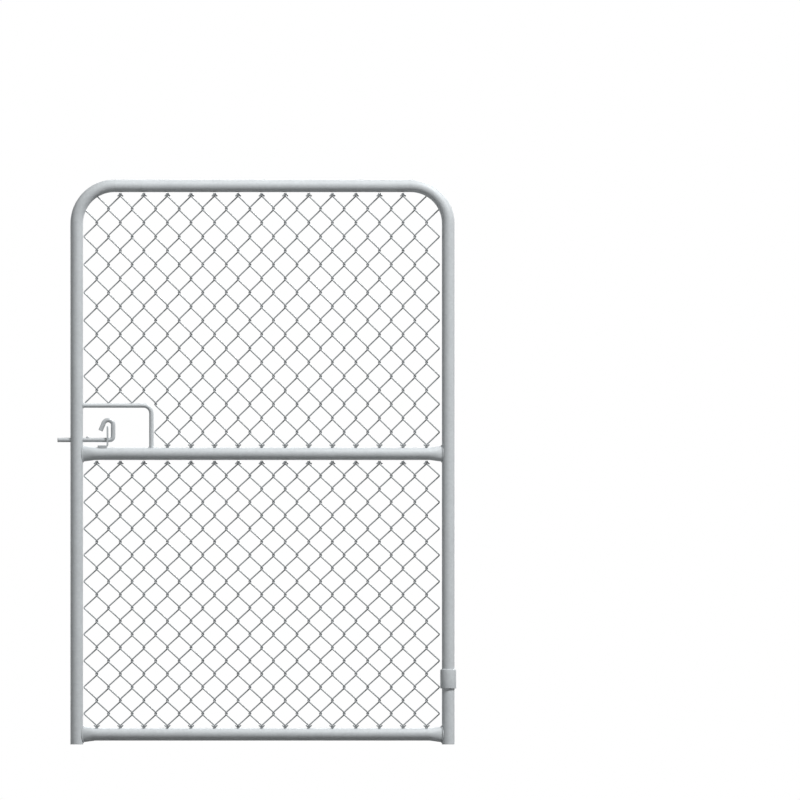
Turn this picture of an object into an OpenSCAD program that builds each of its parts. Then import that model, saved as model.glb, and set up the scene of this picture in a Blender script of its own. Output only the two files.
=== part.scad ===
// Chain-link gate leaf: a bent-tube frame with two cross rails, filled with woven
// diamond mesh in two panels, with a drop-over slide bolt in a framed hand hole.
// Frame of reference: X runs along the gate, Z is up, Y is the gate's thickness.
// The origin is on the hinge stile's axis, at the underside of the hinge collar.

/* [Gate leaf] */
// Overall width over the outer faces of the two stiles
gate_w = 1020; // [800:5:1400]
// Overall height from the open foot of the stiles to the top of the frame
gate_h = 1500; // [1250:5:2000]
// Height of the bottom rail's axis above the foot
bottom_rail_h = 27; // [24:1:60]
// Height of the middle rail's axis above the foot
mid_rail_h = 772; // [600:1:900]

/* [Frame tube] */
// Outside diameter of the frame tube
tube_d = 33.7; // [30:0.1:42.4]
// Wall of the frame tube
tube_wall = 2.6; // [2:0.1:4]
// Radius of the two top corners, to the tube's axis
corner_r = 100; // [70:1:140]
// Length of each rail end that is pressed into an oval
press_len = 33; // [20:1:50]
// Height of the oval at the stile, as a share of the tube's diameter
press_tall = 1.3; // [1:0.01:1.4]
// Depth of the oval at the stile, as a share of the tube's diameter
press_deep = 0.66; // [0.55:0.01:1]

/* [Woven mesh] */
// Diameter of the mesh wire
wire_d = 3.8; // [2:0.05:4]
// Flat sides given to each wire, which keeps the section's true area
wire_sides = 3; // [3:1:8]
// Diamonds across the gate
diamonds_across = 15; // [9:1:24]
// Diamonds up the lower panel
rows_lower = 10; // [6:1:14]
// Diamonds up the upper panel
rows_upper = 9; // [6:1:14]
// Distance of the front and back wire runs from the mesh's middle plane
weave_depth = 3.6; // [3.2:0.1:6]
// Height that each wire loses as it turns from front to back
bend_drop = 3; // [2:0.5:8]
// Length of each wire end that is folded back at a rail
tail_len = 13; // [6:1:20]
// Distance of a folded end from its own leg, in the plane of the mesh
tail_offset = 3.5; // [3:0.1:8]
// Room left between each panel's top folds and the rail above
mesh_slack = 3.5; // [0:0.5:8]
// Free gap between the mesh and the hinge collar
mesh_side_gap = 0.4; // [0.3:0.1:8]

/* [Hand hole] */
// Diameter of the bar round the hand hole
bar_d = 12; // [8:0.5:16]
// Clear height of the hand hole above the middle rail
hole_h = 105; // [80:1:160]
// Wires of the mesh that the hand hole takes the place of
hole_wires = 6; // [4:2:8]
// Radius of the bar's corner, to its axis
bar_bend_r = 21; // [14:1:40]

/* [Slide bolt] */
// Diameter of the bolt
bolt_d = 12; // [8:0.5:14]
// Height of the bolt's axis above the crown of the middle rail
bolt_lift = 19.65; // [18:0.05:40]
// How far the bolt stands out of the latch stile
bolt_reach = 34.4; // [20:0.1:50]
// Radius at the foot of the handle, to the bar's axis
handle_foot_r = 9; // [8:0.5:14]
// Radius of the hook at the handle's top, to the bar's axis
hook_r = 13; // [12:0.5:18]
// Turn of the hook, in degrees
hook_turn = 157; // [120:1:170]
// Straight length past the hook
hook_end = 22; // [8:1:26]
// Gap between the handle's leg and the padlock tab
handle_gap = 6.4; // [5:0.1:12]
// Height from the tab's top to the axis of the hook's turn
hook_over_tab = 2; // [1:0.5:8]

/* [Stop pin] */
// Diameter of the domed stop pin on top of the bolt
stop_d = 9; // [6:0.5:11]
// Gap between the latch stile and the stop pin
stop_gap = 7.6; // [3:0.1:14]

/* [Padlock tab] */
// Distance from the latch stile to the tab's upright
tab_from_stile = 62.4; // [56:0.1:90]
// Thickness of the tab's plate
tab_t = 5; // [3:0.5:6]
// Width of the tab across the gate
tab_w = 20; // [20:1:30]
// Length of the tab's foot along the rail
tab_foot = 28.8; // [20:0.1:40]
// Height of the tab above the middle rail
tab_h = 57; // [50:0.5:80]
// Diameter of the padlock hole
padlock_d = 9; // [7:0.5:11]

/* [Hinge collar] */
// Wall of the collar
collar_wall = 4.05; // [2.5:0.05:8]
// Length of the collar
collar_len = 50; // [30:1:80]
// Height of the collar's underside above the foot
collar_h = 148.5; // [80:0.5:400]
// Chamfer on the collar's edges
collar_chamfer = 1; // [0.5:0.1:2]

/* [Fits] */
// Gap where a welded or tied piece sits on its neighbour
seat = 0.3; // [0.1:0.05:0.5]
// Play of the bolt in its holes, on the radius
bolt_play = 0.75; // [0.4:0.05:1.5]

/* [Hidden] */
$fn = 64;
press_fn = 24;
// overlap that fuses two lengths of one bar where they meet at an odd angle
fuse = 0.2;
tube_r = tube_d / 2;
bar_r = bar_d / 2;
bolt_r = bolt_d / 2;

// levels and places along the gate
span = gate_w - tube_d;
foot_z = -collar_h;
top_z = foot_z + gate_h - tube_r;
mid_z = foot_z + mid_rail_h;
bottom_z = foot_z + bottom_rail_h;
corner_z = top_z - corner_r;
crown_z = mid_z + tube_r;
latch_x = -span;
latch_face_x = latch_x + tube_r;
hinge_face_x = -tube_r;
corner_inner_r = corner_r - tube_r - seat;

// wire section: a polygon of the round wire's area, with a corner on its upper right
wire_c = wire_d / 2 * sqrt(2 * PI / (wire_sides * sin(360 / wire_sides)));
wire_back = wire_c * max([for (i = [0:wire_sides - 1]) -cos(360 * i / wire_sides)]);
wire_across = wire_c + wire_back;
wire_deep = 2 * wire_c * max([for (i = [0:wire_sides - 1]) sin(360 * i / wire_sides)]);

// columns of the weave: neighbouring wires hook round each other at each column
wires = 2 * diamonds_across;
half_hook = (wire_across + seat) / 2;
first_col_x = latch_face_x + seat + wire_c + half_hook;
last_col_x = hinge_face_x - seat - collar_wall - mesh_side_gap - wire_c - half_hook;
pitch = (last_col_x - first_col_x) / wires;
function col_x(k) = first_col_x + k * pitch;

// folded ends: each tail shows beside its own leg, and passes outside its neighbour's turn
leg_run = pitch + 2 * half_hook;
tail_depth = weave_depth + wire_deep + seat;
function fold_rise(step) = tail_offset * sqrt(1 + pow(step / leg_run, 2));
function fold_along(step) = unit(
    unit([leg_run, 0, step]) + unit([0, weave_depth + tail_depth, -fold_rise(step)]));
function fold_top(step) =
    max([for (q = [0:wire_sides - 1]) abs(wire_corner(fold_along(step), q)[2])]);

// a panel is [lower z, upper z, rows]: its lower folds seat on the round of the rail below
lower_panel = [bottom_z + tube_r, mid_z - tube_r, rows_lower];
upper_panel = [crown_z, top_z - tube_r, rows_upper];
function end_room(panel) =
    let (step = (panel[1] - panel[0]) / (2 * panel[2]))
    fold_rise(step) - bend_drop / 2 + fold_top(step) - tube_r
        + sqrt(pow(tube_r + seat, 2) - pow(tail_depth, 2));
function row_step(panel) =
    (panel[1] - panel[0] - mesh_slack - 2 * end_room(panel)) / (2 * panel[2]);
function node_z(panel, j) = panel[1] - mesh_slack - end_room(panel) - j * row_step(panel);

// hand hole: its upright bar stands against the first wire that runs full height
hole_bar_z = crown_z + hole_h + bar_r;
hole_top_z = hole_bar_z + bar_r + seat;
hole_bar_x = col_x(hole_wires) - half_hook - wire_c - seat - bar_r;

// slide bolt and padlock tab
bolt_z = crown_z + bolt_lift;
tab_x = latch_face_x + tab_from_stile;
tab_top_z = crown_z + seat + tab_h;
handle_x = tab_x + tab_t + handle_gap + bolt_r;
hook_z = tab_top_z + hook_over_tab;
hook_x = handle_x - hook_r;
stop_x = latch_face_x + stop_gap + stop_d / 2;
tip_x = latch_x - tube_r - bolt_reach;

GROUPS = 5;
wires_per_group = ceil(wires / GROUPS);

function unit(v) = v / norm(v);

// corner q of a wire's section, set square to the wire's direction t
function section_side(t) = let (s = unit([-t[2], 0, t[0]])) s[0] < 0 ? -s : s;
function wire_corner(t, q) =
    let (side = section_side(t), angle = 360 * q / wire_sides)
    wire_c * (cos(angle) * side + sin(angle) * cross(side, t));

// ---- frame ----

module tube(length) {
    difference() {
        cylinder(h = length, r = tube_r);
        translate([0, 0, -1]) cylinder(h = length + 2, r = tube_r - tube_wall);
    }
}

module tube_along_x(x0, x1) {
    translate([x0, 0, 0]) rotate([0, 90, 0]) tube(x1 - x0);
}

// a quarter bend of round section in the gate's plane, from one angle to another
module bend(radius, section_r, bore_r, from, to) {
    rotate([90, 0, 0]) rotate([0, 0, from]) rotate_extrude(angle = to - from)
        translate([radius, 0]) difference() {
            circle(r = section_r);
            if (bore_r > 0) circle(r = bore_r);
        }
}

module stile_space(x, clearance) {
    translate([x, 0, foot_z - 1]) cylinder(h = gate_h, r = tube_r + clearance);
}

module latch_stile() {
    color("silver") difference() {
        translate([latch_x, 0, foot_z]) tube(corner_z - foot_z);
        translate([latch_x - tube_d, 0, bolt_z]) rotate([0, 90, 0])
            cylinder(h = 2 * tube_d, r = bolt_r + bolt_play);
    }
}

module hinge_stile() {
    color("silver") translate([0, 0, foot_z]) tube(corner_z - foot_z);
}

module top_rail() {
    color("silver") translate([0, 0, top_z]) tube_along_x(latch_x + corner_r, -corner_r);
}

module latch_corner_bend() {
    color("silver") translate([latch_x + corner_r, 0, corner_z])
        bend(corner_r, tube_r, tube_r - tube_wall, 90, 180);
}

module hinge_corner_bend() {
    color("silver") translate([-corner_r, 0, corner_z])
        bend(corner_r, tube_r, tube_r - tube_wall, 0, 90);
}

// a thin slice of an oval, tall in Z and deep in Y, at x = 0
module oval_slice(tall, deep) {
    rotate([0, 90, 0]) scale([tall / deep, 1, 1])
        cylinder(h = 0.1, d = deep, $fn = press_fn);
}

// the pressed end runs from round to oval and on into the curve of the stile
module pressed_end(inset) {
    into_stile = tube_r * (1 - sqrt(1 - pow(press_deep, 2))) + 1;
    hull() {
        translate([press_len, 0, 0]) oval_slice(tube_d - inset, tube_d - inset);
        translate([-into_stile, 0, 0])
            oval_slice(tube_d * press_tall - inset, tube_d * press_deep - inset);
    }
}

module cross_rail(z) {
    color("silver") translate([0, 0, z]) difference() {
        union() {
            tube_along_x(latch_face_x + press_len, hinge_face_x - press_len);
            for (end = [[latch_face_x, 0], [hinge_face_x, 1]])
                translate([end[0], 0, 0]) mirror([end[1], 0, 0]) difference() {
                    pressed_end(0);
                    pressed_end(2 * tube_wall);
                }
        }
        for (x = [latch_x, 0]) translate([x, 0, -tube_d]) cylinder(h = 2 * tube_d, r = tube_r + seat);
    }
}

module middle_rail() { cross_rail(mid_z); }

module bottom_rail() { cross_rail(bottom_z); }

// ---- hand hole, bolt and hinge collar ----

module bar_along_x(x0, x1, r) {
    translate([x0, 0, 0]) rotate([0, 90, 0]) cylinder(h = x1 - x0, r = r);
}

module hand_hole_bar() {
    color("silver") difference() {
        union() {
            translate([0, 0, hole_bar_z]) bar_along_x(latch_x, hole_bar_x - bar_bend_r, bar_r);
            translate([hole_bar_x - bar_bend_r, 0, hole_bar_z - bar_bend_r])
                bend(bar_bend_r, bar_r, 0, 0, 90);
            translate([hole_bar_x, 0, mid_z])
                cylinder(h = hole_bar_z - bar_bend_r - mid_z, r = bar_r);
        }
        stile_space(latch_x, seat);
        translate([0, 0, mid_z]) bar_along_x(latch_x, hole_bar_x + tube_d, tube_r + seat);
    }
}

module slide_bolt() {
    turn_x = handle_x - handle_foot_r;
    color("gainsboro") {
        translate([0, 0, bolt_z]) bar_along_x(tip_x, turn_x, bolt_r);
        translate([turn_x, 0, bolt_z + handle_foot_r]) bend(handle_foot_r, bolt_r, 0, -90, 0);
        translate([handle_x, 0, bolt_z + handle_foot_r])
            cylinder(h = hook_z - bolt_z - handle_foot_r, r = bolt_r);
        translate([hook_x, 0, hook_z]) {
            bend(hook_r, bolt_r, 0, 0, hook_turn);
            rotate([0, -hook_turn, 0]) translate([hook_r, 0, -fuse])
                cylinder(h = hook_end + fuse, r = bolt_r - fuse / 10);
        }
    }
}

module bolt_stop_pin() {
    color("gainsboro") difference() {
        translate([stop_x, 0, bolt_z + bolt_r - 0.5]) sphere(d = stop_d);
        translate([0, 0, bolt_z]) bar_along_x(stop_x - stop_d, stop_x + stop_d, bolt_r + seat);
    }
}

// the tab's side profile: a plate bent up square, with a round outer corner
module tab_profile() {
    outer_r = 1.5 * tab_t;
    translate([tab_t - tab_foot, 0]) square([tab_foot - outer_r, tab_t]);
    translate([0, outer_r]) square([tab_t, tab_h - outer_r]);
    translate([tab_t - outer_r, outer_r]) intersection() {
        difference() {
            circle(r = outer_r);
            circle(r = outer_r - tab_t);
        }
        translate([0, -outer_r]) square(outer_r);
    }
}

module padlock_tab() {
    corner = tab_w / 4;
    color("darkgray") translate([tab_x, 0, crown_z + seat]) difference() {
        translate([0, tab_w / 2, 0]) rotate([90, 0, 0]) linear_extrude(tab_w) tab_profile();
        translate([-1, 0, bolt_z - crown_z - seat]) rotate([0, 90, 0])
            cylinder(h = tab_t + 2, r = bolt_r + bolt_play);
        translate([-1, 0, tab_h - tab_w / 2 - 2]) rotate([0, 90, 0])
            cylinder(h = tab_t + 2, d = padlock_d);
        for (side = [-1, 1]) translate([-1, side * (tab_w / 2 - corner), tab_h - corner])
            difference() {
                translate([0, side > 0 ? 0 : -corner - 1, 0]) cube([tab_t + 2, corner + 1, corner + 1]);
                translate([-1, 0, 0]) rotate([0, 90, 0]) cylinder(h = tab_t + 4, r = corner);
            }
    }
}

module hinge_collar() {
    inner = tube_r + seat;
    outer = inner + collar_wall;
    c = collar_chamfer;
    color("silver") rotate_extrude() polygon([
        [inner, 0], [outer - c, 0], [outer, c],
        [outer, collar_len - c], [outer - c, collar_len], [inner, collar_len]
    ]);
}

// ---- woven mesh ----
// Each wire is a flattened spiral: its right-falling legs run in front, its left-falling
// legs behind, and each turn at a column hooks round the next wire's turn.

// node j of wire p: which side it turns on (1 right, -1 left), and the turn's place
function turn_side(p, j) = (p + j) % 2 == 0 ? 1 : -1;
function turn_x(p, j) = col_x(turn_side(p, j) > 0 ? p + 1 : p) + turn_side(p, j) * half_hook;
function turn_in(panel, p, j) =
    [turn_x(p, j), -turn_side(p, j) * weave_depth, node_z(panel, j) + bend_drop / 2];
function turn_out(panel, p, j) =
    [turn_x(p, j), turn_side(p, j) * weave_depth, node_z(panel, j) - bend_drop / 2];

// distance of a point beyond the inside of the nearer round corner, if it is in one
function past_corner(q) =
    let (cx = q[0] < (latch_x / 2) ? latch_x + corner_r : -corner_r,
         dx = q[0] < (latch_x / 2) ? cx - q[0] : q[0] - cx,
         dz = q[2] - corner_z)
    dx <= 0 || dz <= 0 ? -1 : norm([dx, dz]) + wire_c - corner_inner_r;

// the share of the way from a to b at which a run meets the round corner
function reach_to_corner(a, b) =
    let (cx = a[0] < (latch_x / 2) ? latch_x + corner_r : -corner_r,
         r = corner_inner_r - wire_c,
         ax = a[0] - cx, az = a[2] - corner_z, ux = b[0] - a[0], uz = b[2] - a[2],
         qa = ux * ux + uz * uz, qb = ax * ux + az * uz, qc = ax * ax + az * az - r * r)
    min(1, (-qb + sqrt(max(0, qb * qb - qa * qc))) / qa);

// first node of wire p that lies inside the frame's corners
function first_node(panel, p, j = 0) =
    past_corner(j == 0 ? upper_fold(panel, p) : turn_in(panel, p, j)) > 0
        ? first_node(panel, p, j + 1) : j;

// where a wire folds back at a rail, past the turn of its first or last node
function upper_fold(panel, p) = turn_out(panel, p, 0)
    + [0, -turn_side(p, 0) * (weave_depth + tail_depth), fold_rise(row_step(panel))];
function lower_fold(panel, p, n) = turn_in(panel, p, n)
    + [0, turn_side(p, n) * (weave_depth + tail_depth), -fold_rise(row_step(panel))];

// direction in which a leg of wire p falls away from node j
function leg_dir(panel, p, j) = unit(turn_in(panel, p, j + 1) - turn_out(panel, p, j));

// upper end: folded back down its own leg, or cut where it meets a round corner
function upper_end(panel, p, j) =
    j == 0
        ? let (fold_pt = upper_fold(panel, p), d = leg_dir(panel, p, 0))
          [fold_pt + tail_len * d, fold_pt]
        : let (a = turn_in(panel, p, j), b = turn_out(panel, p, j - 1))
          [a + reach_to_corner(a, b) * (b - a), a];

// lower end: the same fold upside down
function lower_end(panel, p, n) =
    let (fold_pt = lower_fold(panel, p, n), d = leg_dir(panel, p, n - 1))
    [turn_in(panel, p, n), fold_pt, fold_pt - tail_len * d];

// where the run from a towards the turn b comes down on a bar at height z: cut on its
// way, or drawn down to the bar below the turn
function landing(a, b, z) =
    let (share = (a[2] - z) / (a[2] - b[2]))
    share < 1 ? a + share * (b - a) : [b[0], b[1], z];

function over_hole(panel, p) = panel == upper_panel && p < hole_wires;
function last_node(panel, p) =
    over_hole(panel, p)
        ? floor((node_z(panel, 0) - bend_drop / 2 - hole_top_z - wire_c) / row_step(panel))
        : 2 * panel[2];

// over the hand hole a wire lands on the bar, and the last one hooks its full neighbour
function hole_end(panel, p, last) =
    p == hole_wires - 1 && turn_side(p, last + 1) > 0
        ? let (out = turn_out(panel, p, last + 1))
          [turn_in(panel, p, last + 1), out, out + wire_d * leg_dir(panel, p, last + 1)]
        : [landing(turn_out(panel, p, last), turn_in(panel, p, last + 1),
                   hole_top_z + wire_c / 2)];

function wire_path(panel, p) =
    let (first = first_node(panel, p), last = last_node(panel, p))
    concat(
        upper_end(panel, p, first),
        [turn_out(panel, p, first)],
        [for (j = [first + 1:last - 1]) each [turn_in(panel, p, j), turn_out(panel, p, j)]],
        over_hole(panel, p)
            ? concat([turn_in(panel, p, last), turn_out(panel, p, last)],
                     hole_end(panel, p, last))
            : lower_end(panel, p, last)
    );

// one wire: its section is set square to the path, with a corner in the plane of the mesh
module wire(path) {
    n = len(path);
    k = wire_sides;
    along = [for (i = [0:n - 1]) unit(
        (i > 0 ? unit(path[i] - path[i - 1]) : [0, 0, 0])
        + (i < n - 1 ? unit(path[i + 1] - path[i]) : [0, 0, 0]))];
    points = [for (i = [0:n - 1]) for (q = [0:k - 1]) path[i] + wire_corner(along[i], q)];
    faces = concat(
        [[for (q = [0:k - 1]) q]],
        [[for (q = [k - 1:-1:0]) (n - 1) * k + q]],
        [for (i = [0:n - 2]) for (q = [0:k - 1]) let (r = (q + 1) % k)
            each [[i * k + q, (i + 1) * k + r, i * k + r],
                  [i * k + q, (i + 1) * k + q, (i + 1) * k + r]]]
    );
    polyhedron(points = points, faces = faces);
}

module mesh(panel, group) {
    first = (group - 1) * wires_per_group;
    color("lightgray")
        for (p = [first:min(first + wires_per_group, wires) - 1]) wire(wire_path(panel, p));
}

module upper_mesh(group) { mesh(upper_panel, group); }

module lower_mesh(group) { mesh(lower_panel, group); }

latch_stile();
hinge_stile();
top_rail();
latch_corner_bend();
hinge_corner_bend();
middle_rail();
bottom_rail();
hand_hole_bar();
slide_bolt();
bolt_stop_pin();
padlock_tab();
hinge_collar();
upper_mesh(1);  // upper_mesh_1
upper_mesh(2);  // upper_mesh_2
upper_mesh(3);  // upper_mesh_3
upper_mesh(4);  // upper_mesh_4
upper_mesh(5);  // upper_mesh_5
lower_mesh(1);  // lower_mesh_1
lower_mesh(2);  // lower_mesh_2
lower_mesh(3);  // lower_mesh_3
lower_mesh(4);  // lower_mesh_4
lower_mesh(5);  // lower_mesh_5
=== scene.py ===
"""Chain-link gate leaf: a bent-tube frame, woven wire panels and a swivelling slide bolt.

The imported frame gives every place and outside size. The classes below build each
sub-assembly in metres, in the gate's own frame: X along the gate, Z up, Y its thickness.
"""

import logging
import math
from collections.abc import Sequence
from dataclasses import dataclass
from enum import Enum, IntEnum

import bmesh
import bpy
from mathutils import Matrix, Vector


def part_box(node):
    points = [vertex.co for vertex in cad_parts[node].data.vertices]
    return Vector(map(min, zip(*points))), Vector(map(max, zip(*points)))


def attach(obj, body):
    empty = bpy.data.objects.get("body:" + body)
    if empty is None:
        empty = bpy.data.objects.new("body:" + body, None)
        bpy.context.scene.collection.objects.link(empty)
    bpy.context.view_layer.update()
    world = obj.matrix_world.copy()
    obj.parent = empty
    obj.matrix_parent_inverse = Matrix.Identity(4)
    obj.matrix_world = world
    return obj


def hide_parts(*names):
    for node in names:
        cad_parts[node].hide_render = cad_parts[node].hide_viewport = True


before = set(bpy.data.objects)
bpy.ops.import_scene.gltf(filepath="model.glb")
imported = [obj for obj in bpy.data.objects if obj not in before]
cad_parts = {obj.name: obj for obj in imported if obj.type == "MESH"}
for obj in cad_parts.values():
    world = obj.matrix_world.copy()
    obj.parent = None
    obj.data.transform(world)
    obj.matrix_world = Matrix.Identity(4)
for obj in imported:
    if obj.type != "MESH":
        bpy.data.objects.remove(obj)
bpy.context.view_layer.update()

LOG = logging.getLogger("gate")
MM = 0.001
SEAT = 0.3 * MM  # the gap between a tube and what sits on it
SAME_POINT = 0.001 * MM  # points nearer than this are one
SHARP_ANGLE = math.radians(34)  # edges sharper than this stay crisp
QUARTER = math.pi / 2
ALONG = Vector((1.0, 0.0, 0.0))
DEPTH = Vector((0.0, 1.0, 0.0))
UP = Vector((0.0, 0.0, 1.0))
WHITE = (1.0, 1.0, 1.0, 1.0)

Piece = bpy.types.Object
Socket = bpy.types.NodeSocket
Ring = list[Vector]
Face = tuple[int, ...]
Pair = tuple[float, float]
Triple = tuple[float, float, float]
Given = float | tuple[float, ...] | bpy.types.Material | Socket
Inputs = dict[str | int, Given]


class Body(Enum):
    """The gate's moving bodies."""

    LEAF = "leaf"
    BOLT = "bolt"


class Side(Enum):
    """The two ends of the gate, with the direction from that end into the gate."""

    LATCH = 1
    HINGE = -1


class End(Enum):
    """The two ends of a mesh wire, with the direction from its legs to that end."""

    TOP = 1
    FOOT = -1


class Axis(IntEnum):
    """The gate's axes, by their places in a Vector."""

    X = 0
    Y = 1
    Z = 2


# ---- node trees ----


@dataclass
class NodeWork:
    """A node tree in the making, whose nodes' inputs go by their names or numbers."""

    tree: bpy.types.NodeTree

    def feed(self, node: bpy.types.Node, inputs: Inputs) -> None:
        """Set a node's inputs to values, or link them to other nodes' sockets.

        Args:
            node: The node.
            inputs: What each input gets.
        """
        for label, given in inputs.items():
            if isinstance(given, Socket):
                self.tree.links.new(given, node.inputs[label])
            else:
                node.inputs[label].default_value = given

    def add(
        self, kind: str, inputs: Inputs | None = None, **settings: str | bool
    ) -> bpy.types.NodeOutputs:
        """Add a node.

        Args:
            kind: The node's type.
            inputs: What each input gets.
            settings: The node's own settings.

        Returns:
            The node's outputs.
        """
        node = self.tree.nodes.new(kind)
        for label, value in settings.items():
            setattr(node, label, value)
        self.feed(node, inputs or {})
        return node.outputs

    def maths(self, operation: str, *terms: Given, clamp: bool = False) -> Socket:
        """Add one sum, whose result may be kept from 0 to 1, and return its socket."""
        inputs = dict(enumerate(terms))
        return self.add("ShaderNodeMath", inputs, operation=operation, use_clamp=clamp)[0]

    def ramp(self, value: Socket, span: Pair, levels: Pair) -> Socket:
        """Go evenly from the first level to the second while a value crosses a span."""
        ends = zip(("From Min", "From Max", "To Min", "To Max"), (*span, *levels))
        return self.add("ShaderNodeMapRange", {"Value": value, **dict(ends)})["Result"]


# ---- finishes ----


@dataclass(frozen=True)
class ZincFinish:
    """A zinc-coated steel surface with its soft mottling and spangle."""

    name: str
    slot: str
    dull: Triple
    bright: Triple
    metallic: float = 0.12
    specular: float = 0.4
    roughness: Pair = (0.56, 0.66)
    mottle_size: float = 55 * MM
    mottle_detail: float = 5.0
    mottle_span: Pair = (0.3, 0.7)
    spangle_size: float = 6 * MM
    spangle_share: float = 0.35
    grain_size: float = 1.6 * MM
    grain_detail: float = 2.0
    grain_height: float = 0.06 * MM
    grain_strength: float = 0.5
    noise_roughness: float = 0.55

    def material(self) -> bpy.types.Material:
        """Make the finish's material, or return the one already made.

        Returns:
            The procedural material, patterned on Object coordinates.
        """
        made = bpy.data.materials.get(self.name)
        if made is not None:
            return made
        made = bpy.data.materials.new(self.name)
        made.use_nodes = True
        made.diffuse_color = (*self.bright, 1.0)
        work = NodeWork(made.node_tree)
        place = work.add("ShaderNodeTexCoord")["Object"]
        mottle = self.noise(work, place, self.mottle_size, self.mottle_detail)
        crystals = {"Vector": place, "Scale": 1.0 / self.spangle_size}
        shade = {"Color": work.add("ShaderNodeTexVoronoi", crystals)["Color"]}
        spangle = work.add("ShaderNodeSeparateColor", shade)["Red"]
        shares = {"Factor": self.spangle_share, 2: mottle, 3: spangle}
        cloud = work.add("ShaderNodeMix", shares, data_type="FLOAT")[0]
        tints = {"Factor": cloud, 6: (*self.dull, 1.0), 7: (*self.bright, 1.0)}
        grain = {
            "Height": self.noise(work, place, self.grain_size, self.grain_detail),
            "Strength": self.grain_strength,
            "Distance": self.grain_height,
        }
        look = {
            "Base Color": work.add("ShaderNodeMix", tints, data_type="RGBA")[2],
            "Metallic": self.metallic,
            "Specular IOR Level": self.specular,
            "Roughness": work.ramp(mottle, self.mottle_span, self.roughness),
            "Normal": work.add("ShaderNodeBump", grain)["Normal"],
        }
        work.feed(made.node_tree.nodes["Principled BSDF"], look)
        return made

    def noise(self, work: NodeWork, place: Socket, size: float, detail: float) -> Socket:
        """Add a noise pattern.

        Args:
            work: The material's node tree.
            place: The coordinates that it reads.
            size: The width of one patch, in metres.
            detail: How many finer layers it has.

        Returns:
            The socket that gives the pattern from 0 to 1.
        """
        pattern = {"Vector": place, "Scale": 1.0 / size, "Detail": detail}
        pattern["Roughness"] = self.noise_roughness
        return work.add("ShaderNodeTexNoise", pattern)["Fac"]


class Finish(Enum):
    """The finishes that the gate's pieces are given."""

    FRAME_TUBE = ZincFinish(
        "zinc_frame_tube", "frame_tube", (0.45, 0.475, 0.49), (0.56, 0.59, 0.605)
    )
    HAND_BAR = ZincFinish(
        "zinc_hand_bar", "bar", (0.46, 0.485, 0.50), (0.57, 0.60, 0.615), spangle_size=4 * MM
    )
    COLLAR = ZincFinish("zinc_collar", "collar", (0.44, 0.465, 0.48), (0.54, 0.57, 0.585))
    TAB_PLATE = ZincFinish(
        "zinc_tab_plate", "plate", (0.40, 0.425, 0.44), (0.50, 0.53, 0.545), spangle_size=4 * MM
    )
    BOLT_STEEL = ZincFinish(
        "zinc_bolt",
        "bolt_steel",
        (0.40, 0.42, 0.432),
        (0.50, 0.525, 0.54),
        metallic=0.2,
        roughness=(0.34, 0.46),
        spangle_size=4 * MM,
    )
    MESH_WIRE = ZincFinish(
        "zinc_mesh_wire",
        "mesh_wire",
        (0.24, 0.256, 0.265),
        (0.315, 0.335, 0.344),
        metallic=0.2,
        roughness=(0.38, 0.5),
        mottle_size=40 * MM,
        spangle_size=3 * MM,
        spangle_share=0.2,
        grain_height=0.02 * MM,
    )
    WELD = ZincFinish(
        "zinc_weld",
        "frame_tube",
        (0.38, 0.40, 0.41),
        (0.50, 0.525, 0.54),
        roughness=(0.45, 0.62),
        mottle_size=6 * MM,
        spangle_share=0.1,
    )


# ---- shaping ----


def spread(node: str, axis: Axis) -> Pair:
    """Return the middle and half the width of a frame's node along an axis."""
    low, high = (corner[axis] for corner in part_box(node))
    return (low + high) / 2, (high - low) / 2


def sweep(turn: float, steps: int) -> list[Pair]:
    """Return the cosine and sine at even steps of a turn, from its start to its end."""
    return [(math.cos(turn * k / steps), math.sin(turn * k / steps)) for k in range(steps + 1)]


def circle(sides: int) -> list[Pair]:
    """Return the cosine and sine at each of a circle's points."""
    return sweep(math.tau, sides)[:-1]


def reach(radius: float, y: float) -> float:
    """Return how far a round bar's surface stands from its axis, at that depth."""
    return math.sqrt(radius**2 - y**2)


def saddle(radius: float, wide: float, deep: float, steps: int) -> list[tuple[float, ...]]:
    """Follow the joint of an oval bar that stands square on a round tube.

    Args:
        radius: The distance of the joint's line from the tube's axis.
        wide: The line's half width along the tube.
        deep: Its half depth.
        steps: How many points it has.

    Returns:
        Each point's distance out from the tube's axis, its depth and its place along it.
    """
    return [(reach(radius, deep * sin), deep * sin, wide * cos) for cos, sin in circle(steps)]


def put(name: str, data: bpy.types.ID) -> Piece:
    """Put a new object in the scene.

    Args:
        name: The object's name.
        data: Its mesh, light or camera.

    Returns:
        The object.
    """
    thing = bpy.data.objects.new(name, data)
    bpy.context.scene.collection.objects.link(thing)
    return thing


def bands(rings: int, sides: int, looped: bool = False) -> list[Face]:
    """Return the faces between neighbouring rings.

    Args:
        rings: How many rings there are.
        sides: How many points each has.
        looped: Whether the last ring joins the first.

    Returns:
        The faces, by the numbers of their points.
    """
    faces: list[Face] = []
    for k in range(rings if looped else rings - 1):
        near, far = k * sides, (k + 1) % rings * sides
        for i in range(sides):
            j = (i + 1) % sides
            faces.append((near + i, near + j, far + j, far + i))
    return faces


def shell(name: str, rings: Sequence[Ring], caps: Sequence[Vector] = ()) -> Piece:
    """Skin a row of rings into one closed shell.

    Args:
        name: The new object's name.
        rings: The rings, each with as many points.
        caps: The middles of the two ends. Without them the last ring joins the first.

    Returns:
        The new object.
    """
    sides = len(rings[0])
    faces = bands(len(rings), sides, looped=not caps)
    head = len(rings) * sides
    if caps:
        for i in range(sides):
            j, last = (i + 1) % sides, head - sides
            faces += [(j, i, head), (last + i, last + j, head + 1)]
    return solid(name, [*(p for ring in rings for p in ring), *caps], faces)


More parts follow.
